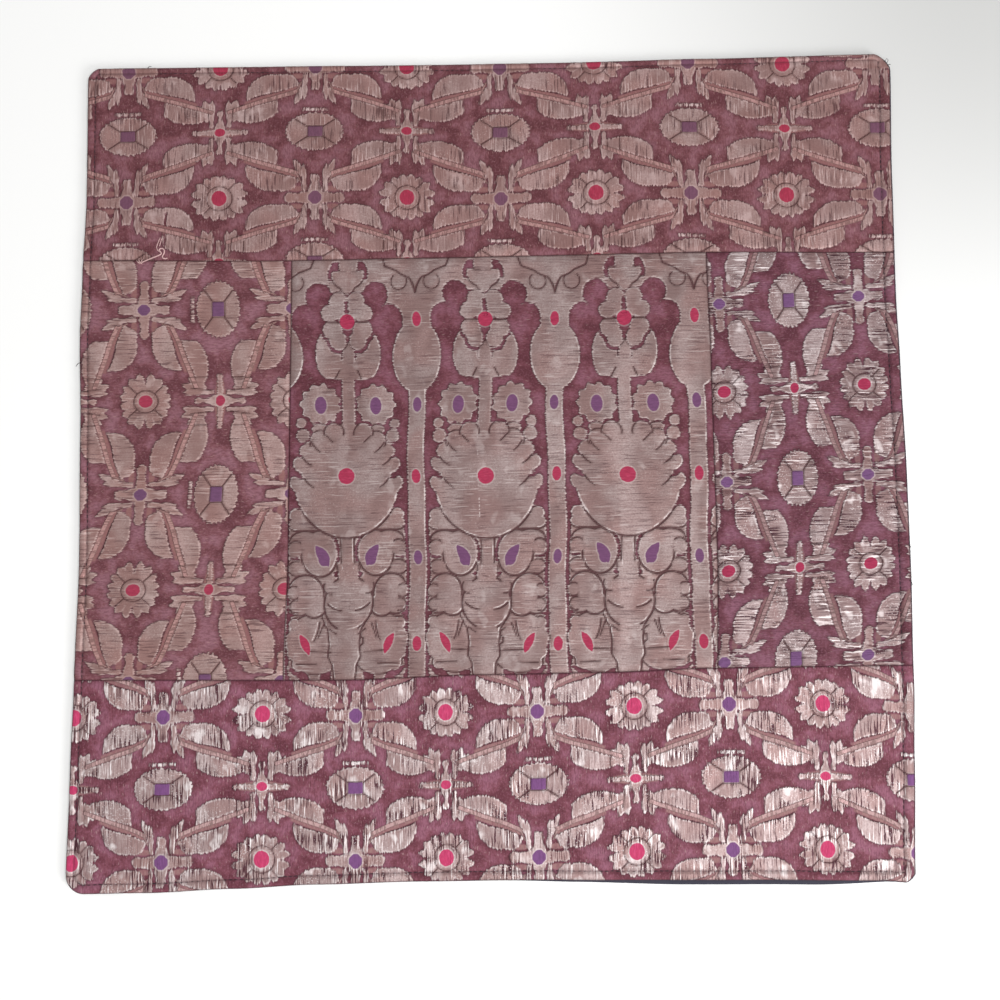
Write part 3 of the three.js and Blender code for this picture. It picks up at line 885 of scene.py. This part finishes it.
def build_frays():
    """Short loose ends at the top right corner and on the left, right and top edges."""
    ends = [
        [(200.6, 200.6, 2.4), (201.8, 201.6, 2.8), (203.0, 203.0, 2.4)],
        [(201.8, 199.8, 2.4), (203.0, 201.0, 2.9), (203.3, 202.6, 2.4)],
        [(202.4, 198.6, 2.4), (203.6, 199.6, 2.7), (204.6, 199.8, 2.3)],
        [(-201.6, 52.0, 2.6), (-203.6, 51.4, 3.0), (-204.9, 50.0, 2.6)],
        [(202.4, -60.0, 2.5), (203.9, -60.8, 2.8), (204.7, -62.6, 2.2)],
        [(201.8, -44.0, 2.5), (203.6, -43.2, 2.9), (204.6, -44.2, 2.4)],
        [(-172.0, 203.0, 2.4), (-171.2, 203.9, 2.7), (-170.0, 204.3, 2.3)],
    ]
    return tubes("loose_ends", [curl(points, 0.14) for points in ends], 5)


class Shader:
    """A material's node tree, with short calls for the nodes that it needs."""

    def __init__(self, name, upright=True):
        self.material = bpy.data.materials.new(name)
        self.material.use_nodes = True
        self.upright = upright
        self.tree = self.material.node_tree
        self.tree.nodes.clear()
        output = self.node("OutputMaterial")
        self.surface = self.node("BsdfPrincipled")
        self.tree.links.new(self.surface.outputs[0], output.inputs["Surface"])
        self.place = self.node("TexCoord").outputs["Object"]

    def node(self, kind):
        return self.tree.nodes.new("ShaderNode" + kind)

    def put(self, socket, value):
        if isinstance(value, bpy.types.NodeSocket):
            self.tree.links.new(value, socket)
        else:
            socket.default_value = value

    def math(self, operation, first, second=0.0):
        node = self.node("Math")
        node.operation = operation
        self.put(node.inputs[0], first)
        self.put(node.inputs[1], second)
        return node.outputs[0]

    def add(self, first, second):
        return self.math("ADD", first, second)

    def subtract(self, first, second):
        return self.math("SUBTRACT", first, second)

    def times(self, first, second):
        return self.math("MULTIPLY", first, second)

    def step(self, value, low, high, to_low=0.0, to_high=1.0):
        node = self.node("MapRange")
        node.interpolation_type = "SMOOTHSTEP"
        self.put(node.inputs["Value"], value)
        for key, number in (("From Min", low), ("From Max", high), ("To Min", to_low), ("To Max", to_high)):
            node.inputs[key].default_value = number
        return node.outputs["Result"]

    def mix(self, share, first, second):
        node = self.node("Mix")
        node.data_type = "RGBA"
        self.put(node.inputs[0], share)
        for socket, value in ((node.inputs[6], first), (node.inputs[7], second)):
            self.put(socket, value if isinstance(value, bpy.types.NodeSocket) else (*value, 1))
        return node.outputs[2]

    def over(self, base, *layers):
        """A colour with others laid over it in turn, each given after its share."""
        for share, colour in layers:
            base = self.mix(share, base, colour)
        return base

    def noise(self, across, up, start, detail=2.0):
        """Noise in cells of these sizes in millimetres. start is where it is read from."""
        scaled = self.node("Mapping")
        scaled.inputs["Scale"].default_value = (1000 / across, 1000 / up, 0)
        scaled.inputs["Location"].default_value = (start, start * 0.7, 0)
        self.put(scaled.inputs["Vector"], self.place)
        node = self.node("TexNoise")
        self.put(node.inputs["Vector"], scaled.outputs[0])
        node.inputs["Scale"].default_value = 1.0
        node.inputs["Detail"].default_value = detail
        node.inputs["Roughness"].default_value = 0.6
        return node.outputs["Fac"]

    def streak(self, across, run, start, detail=2.0):
        """Noise drawn out along the metal threads."""
        if self.upright:
            return self.noise(across, run, start, detail)
        return self.noise(run, across, start, detail)

    def axis(self, name):
        """How far along one axis a place is, in metres."""
        node = self.node("SeparateXYZ")
        self.put(node.inputs[0], self.place)
        return node.outputs[name]

    def field(self, name):
        node = self.node("Attribute")
        node.attribute_name = name
        return node.outputs["Fac"]

    def bump(self, height, distance):
        node = self.node("Bump")
        node.inputs["Strength"].default_value = 1.0
        node.inputs["Distance"].default_value = distance * MM
        self.put(node.inputs["Height"], height)
        return node.outputs[0]


def tone(red, green, blue):
    """A colour as the eye sees it, 0 to 255, as the shader's own linear numbers."""
    def line(value):
        value /= 255
        return value / 12.92 if value <= 0.04045 else ((value + 0.055) / 1.055) ** 2.4
    return (line(red), line(green), line(blue))


def tinted(colour, red, green, blue):
    return (colour[0] * red, colour[1] * green, colour[2] * blue)


def darker(colour, share):
    return tinted(colour, share, share, share)


def silk_ground(s, ground, metal, seed, grain):
    """Mottled silk, with darker gaps in its weave, and painted shade beside the raised metal."""
    patch = s.noise(12, 12, seed + 2, 4.0)
    weave = s.streak(0.9, 2.2, seed + 20, 1.0)
    dark_ground = tinted(ground, 0.50, 0.38, 0.40)
    pale_ground = tinted(ground, 1.38, 1.72, 1.80)
    shaded = s.times(s.step(s.field("zari"), -0.9, -0.1), s.step(grain, 0.38, 0.62, 0.05, 0.6))
    return s.over(
        ground,
        (s.step(patch, 0.46, 0.62, 0, 0.9), pale_ground),
        (s.step(patch, 0.52, 0.36, 0, 0.8), dark_ground),
        (s.step(weave, 0.42, 0.62, 0, 0.4), dark_ground),
        (s.step(grain, 0.50, 0.66, 0, 0.4), pale_ground),
        # Painted shade on the ground beside the raised metal, darker still at its edge
        (s.step(s.field("zari"), -2.6, -0.2, 0, 0.35), dark_ground),
        (s.step(s.streak(0.7, 3.0, seed + 75, 1.0), 0.64, 0.72, 0, 0.5), metal),
        (shaded, darker(ground, 0.30)),
    )


def metal_threads(s, metal, glint, worn_and_shaded, ground, seed, sparkle, wear, grain, fine, jag):
    """Worn and clean areas, thin gaps, and painted light: highlights on some threads and on thread ends,
    and painted sheen and shade in soft bands and beside the dark lines. Gives their colour and the gaps."""
    thin = s.streak(0.75, 12.0, seed + 7, 1.0)
    area = s.noise(19, 19, seed + 40, 2.0)
    sheen = s.noise(15, 70, seed + 45, 1.0)
    # Painted highlights on the thread ends along the metal's edges
    ends = s.times(s.step(s.field("zari"), 1.1, 0.3), s.step(jag, 0.46, 0.58, 0.1, 0.75))
    torn = s.step(s.noise(14, 14, seed + 50, 1.0), 0.44, 0.60, 0.15, 1.0)
    gap = s.times(s.step(thin, 0.40 + 0.06 * wear, 0.34 + 0.06 * wear), s.times(torn, wear))
    # Painted glints in specks, painted bright patches and painted highlights on single threads
    glint_specks = s.step(s.noise(0.8, 0.8, seed + 95, 1.0), 0.60, 0.68)
    glint_specks = s.times(glint_specks, s.step(area, 0.44, 0.56, 0.1, 0.8))
    flash = s.step(s.noise(9, 12, seed + 97, 2.0), 0.58, 0.70, 0, 0.6 * sparkle)
    lit = s.step(s.noise(20, 20, seed + 60, 1.0), 0.44, 0.62, 0.1, 1.0)
    lit = s.times(s.step(thin, 0.60, 0.66), lit)
    thread = s.over(
        tinted(metal, 0.94, 0.91, 0.89),
        (s.step(s.noise(22, 22, seed + 90, 1.0), 0.38, 0.62), tinted(metal, 0.98, 1.13, 1.13)),
        (s.step(area, 0.56, 0.40, 0, 0.5), worn_and_shaded),
        # Painted sheen and painted shade in soft bands, and painted shade beside the dark lines
        (s.step(sheen, 0.50, 0.66, 0, 0.5), s.mix(0.4, metal, glint)),
        (s.step(sheen, 0.48, 0.34, 0, 0.4), worn_and_shaded),
        (s.step(s.field("line"), 1.3, 0.1, 0, 0.45), darker(worn_and_shaded, 0.85)),
        (s.step(grain, 0.45, 0.62, 0, 0.35), worn_and_shaded),
        (s.step(fine, 0.49, 0.36, 0, 0.12 + 0.38 * wear), worn_and_shaded),
        # Painted highlights on thread ends
        (ends, s.mix(0.5, metal, glint)),
        (gap, darker(ground, 0.38)),
        # Painted glints, bright patches and highlights on single threads
        (s.times(glint_specks, sparkle * 0.7), glint),
        (flash, s.mix(gap, glint, worn_and_shaded)),
        (s.times(lit, sparkle), glint),
        (s.step(s.field("dull"), -0.2, 0.4, 0, 0.35), tinted(worn_and_shaded, 1.15, 1.0, 0.95)),
    )
    return thread, gap


def brocade(name, upright, metal, glint, ground, red, purple, seed, sparkle, wear):
    """Silk with a pattern in metal threads and coloured silk, with painted shade along its seams and its
    rim.
    """
    metal, glint, ground = tone(*metal), tone(*glint), tone(*ground)
    red_silk, purple_silk = tone(*red), tone(*purple)
    # A darker metal, for worn threads and for painted shade
    worn_and_shaded = tinted(metal, 0.62, 0.57, 0.56)
    s = Shader(name, upright)
    grain = s.noise(1.0, 1.0, seed + 3, 2.0)
    fine = s.streak(0.9, 7.0, seed)
    jag = s.streak(0.9, 4.0, seed + 9, 1.0)
    sway = s.times(s.subtract(jag, 0.5), 2.2)

    def frayed(key, share, low, high):
        """Where a field is inside its shape, its edge moved by a share of the threads' sway."""
        return s.step(s.add(s.field(key), s.times(sway, share)), low, high)

    zari = frayed("zari", 1.0, -0.35, 0.35)
    shade = frayed("shade", 0.4, -0.4, 0.5)
    gleam = frayed("gleam", 0.2, -0.2, 0.15)
    red_here = frayed("red", 0.3, -0.2, 0.25)
    purple_here = frayed("purple", 0.2, -0.2, 0.25)
    line = s.step(s.field("line"), 0.34, -0.16)
    rib = s.step(s.field("rib"), -0.15, 0.15)
    thread, gap = metal_threads(s, metal, glint, worn_and_shaded, ground, seed, sparkle, wear, grain, fine, jag)
    brown = s.mix(s.step(jag, 0.4, 0.6, 0, 0.45), tinted(metal, 0.70, 0.56, 0.56), ground)
    bead = s.mix(s.step(jag, 0.40, 0.56), worn_and_shaded, tinted(metal, 1.13, 1.07, 1.08))
    bead = s.mix(s.step(s.field("rib"), 0.05, 0.45), darker(worn_and_shaded, 0.85), bead)
    patchy = s.step(s.noise(7, 7, seed + 70, 2.0), 0.45, 0.60, 0.05, 0.8)

    # A painted highlight rings the coloured silk
    either = s.math("MAXIMUM", s.field("red"), s.field("purple"))
    halo = s.times(s.step(either, -0.9, -0.3), s.subtract(1.0, line))
    fade = s.step(s.streak(0.9, 3.0, seed + 80), 0.35, 0.65, 0, 0.5)
    # Painted highlights on the red silk's floats
    lit_silk = s.step(s.streak(0.8, 3.5, seed + 85, 1.0), 0.52, 0.68, 0, 0.4)
    faded_red = s.mix(fade, red_silk, darker(red_silk, 0.68))
    groove = s.math("ABSOLUTE", s.subtract(s.field("rim"), STITCH_INSET))
    s.put(s.surface.inputs["Base Color"], s.over(
        silk_ground(s, ground, metal, seed, grain),
        # gleam: painted highlights along edges and a crease, and the light stitches
        (shade, brown), (zari, thread), (rib, bead), (s.times(gleam, patchy), glint),
        (s.times(line, 0.85), tinted(ground, 0.40, 0.38, 0.33)),
        # halo: painted highlight round the coloured silk
        (s.times(halo, 0.25), glint),
        (red_here, s.mix(lit_silk, faded_red, tinted(red_silk, 1.25, 2, 1.6))),
        (purple_here, s.mix(fade, purple_silk, darker(purple_silk, 0.68))),
        # Painted shade in the seams, in the groove of the topstitching and where the rim turns under
        (s.step(s.field("seam"), 0.9, 0, 0, 0.5), darker(ground, 0.45)),
        (s.step(groove, 0.7, 0.1, 0, 0.45), darker(ground, 0.3)),
        (s.step(s.field("rim"), 0.7, 0.1, 0, 0.75), darker(ground, 0.22)),
    ))

    silk = s.math("MAXIMUM", red_here, purple_here)
    shine = s.times(zari, s.subtract(1.0, s.math("MAXIMUM", silk, line)))
    s.put(s.surface.inputs["Metallic"], s.times(shine, 0.25))
    s.put(s.surface.inputs["Roughness"], s.subtract(0.72, s.times(shine, 0.22)))
    s.surface.inputs["Specular IOR Level"].default_value = 0.2
    height = s.times(zari, 0.8)
    for part, share in ((fine, 0.35), (grain, 0.2), (rib, 0.5), (line, -0.7), (gap, -0.3)):
        height = s.add(height, s.times(part, share))
    s.put(s.surface.inputs["Normal"], s.bump(height, 0.45))
    return s.material


def plain_cloth(name, colour):
    s = Shader(name)
    weave = s.noise(0.5, 0.5, 3.0, 2.0)
    patch = s.noise(14, 14, 5.0, 3.0)
    shown = s.mix(s.step(weave, 0.3, 0.7), darker(colour, 0.8), colour)
    shown = s.mix(s.step(patch, 0.4, 0.7, 0, 0.4), shown, darker(colour, 1.3))
    s.put(s.surface.inputs["Base Color"], shown)
    s.surface.inputs["Roughness"].default_value = 0.75
    s.put(s.surface.inputs["Normal"], s.bump(weave, 0.12))
    return s.material


def grid_lines(length):
    """The places of a sheet's grid lines, close together where its edge rounds over."""
    ends = [0, 0.35, 0.9, 1.8, 2.8, 3.8, 4.8]
    count = round((length - 2 * ends[-1]) / BACK_CELL)
    inner = np.linspace(ends[-1], length - ends[-1], count + 1)[1:-1]
    return np.array(ends + inner.tolist() + [length - end for end in reversed(ends)])


def build_back():
    size = middle_size(back_outer)
    u, v = np.meshgrid(grid_lines(size[0]), grid_lines(size[1]))
    x, y = cloth_point(back_outer, ALL_SIDES, size, u, v)
    edge = meet(u, size[0] - u, v, size[1] - v)
    high = BACK_THICK - 0.25 * np.exp(-(edge / 0.4) ** 2)
    return sheet_mesh("back_cloth", x, y, high, 0.0, {"rim": edge})


def add_cloths():
    """The five front panels and the back."""
    panels = {name: build_panel(name) for name in PANELS}
    back = build_back()
    back.data.materials.append(plain_cloth("back_cloth", tone(*BACK_CLOTH)))
    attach(back, "root")
    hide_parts("back_panel")
    for name, piece in panels.items():
        piece.data.materials.append(brocade(**BROCADES[name]))
        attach(piece, "root")
        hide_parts(name)


def add_threads():
    dark_thread = plain_cloth("dark_thread", tone(*DARK_THREAD))
    metal_thread = plain_cloth("metal_thread", tone(*METAL_THREAD))
    for build, look in (
        (build_topstitch, dark_thread), (build_snag, metal_thread), (build_frays, dark_thread),
    ):
        piece = build()
        piece.data.materials.append(look)
        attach(piece, "root")


def add_floor():
    """White paper, with painted shade greying it towards the far right."""
    far = FLOOR_REACH
    corners = [(x, y, -FLOOR_DROP) for x, y in ((-far, -far), (far, -far), (far, far), (-far, far))]
    mesh = bpy.data.meshes.new("floor")
    mesh.from_pydata(corners, [], [(0, 1, 2, 3)])
    floor = put_in_scene("floor", mesh)
    paper = Shader("paper")
    greyed = paper.times(
        paper.step(paper.axis("X"), -0.03, 0.26), paper.step(paper.axis("Y"), -0.06, 0.25),
    )
    paper.put(paper.surface.inputs["Base Color"], paper.mix(greyed, PAPER, SHADED_PAPER))
    paper.surface.inputs["Roughness"].default_value = 0.8
    mesh.materials.append(paper.material)


def add_lamp(name, place, size, power):
    """A soft round lamp that shines at the middle of the sham."""
    data = bpy.data.lights.new(name, "AREA")
    data.shape = "DISK"
    data.size = size
    data.energy = power
    lamp = put_in_scene(name, data)
    lamp.rotation_euler = Vector(place).to_track_quat("Z", "Y").to_euler()
    lamp.location = place


def add_sky():
    world = bpy.data.worlds.new("studio")
    world.use_nodes = True
    background = world.node_tree.nodes["Background"]
    background.inputs["Color"].default_value = (1, 1, 1, 1)
    background.inputs["Strength"].default_value = SKY_STRENGTH
    bpy.context.scene.world = world


def add_camera():
    data = bpy.data.cameras.new("camera")
    data.lens = CAMERA_LENS
    data.sensor_width = CAMERA_SENSOR
    data.clip_start = 0.01
    camera = put_in_scene("camera", data)
    stand = Matrix.Translation([value * MM for value in CAMERA_PLACE])
    for axis, angle in CAMERA_TURNS:
        stand = stand @ Matrix.Rotation(angle, 4, axis)
    camera.matrix_world = stand
    bpy.context.scene.camera = camera


add_cloths()
add_threads()
add_floor()
for lamp in LAMPS:
    add_lamp(*lamp)
add_sky()
add_camera()
bpy.context.scene.view_settings.view_transform = "Standard"
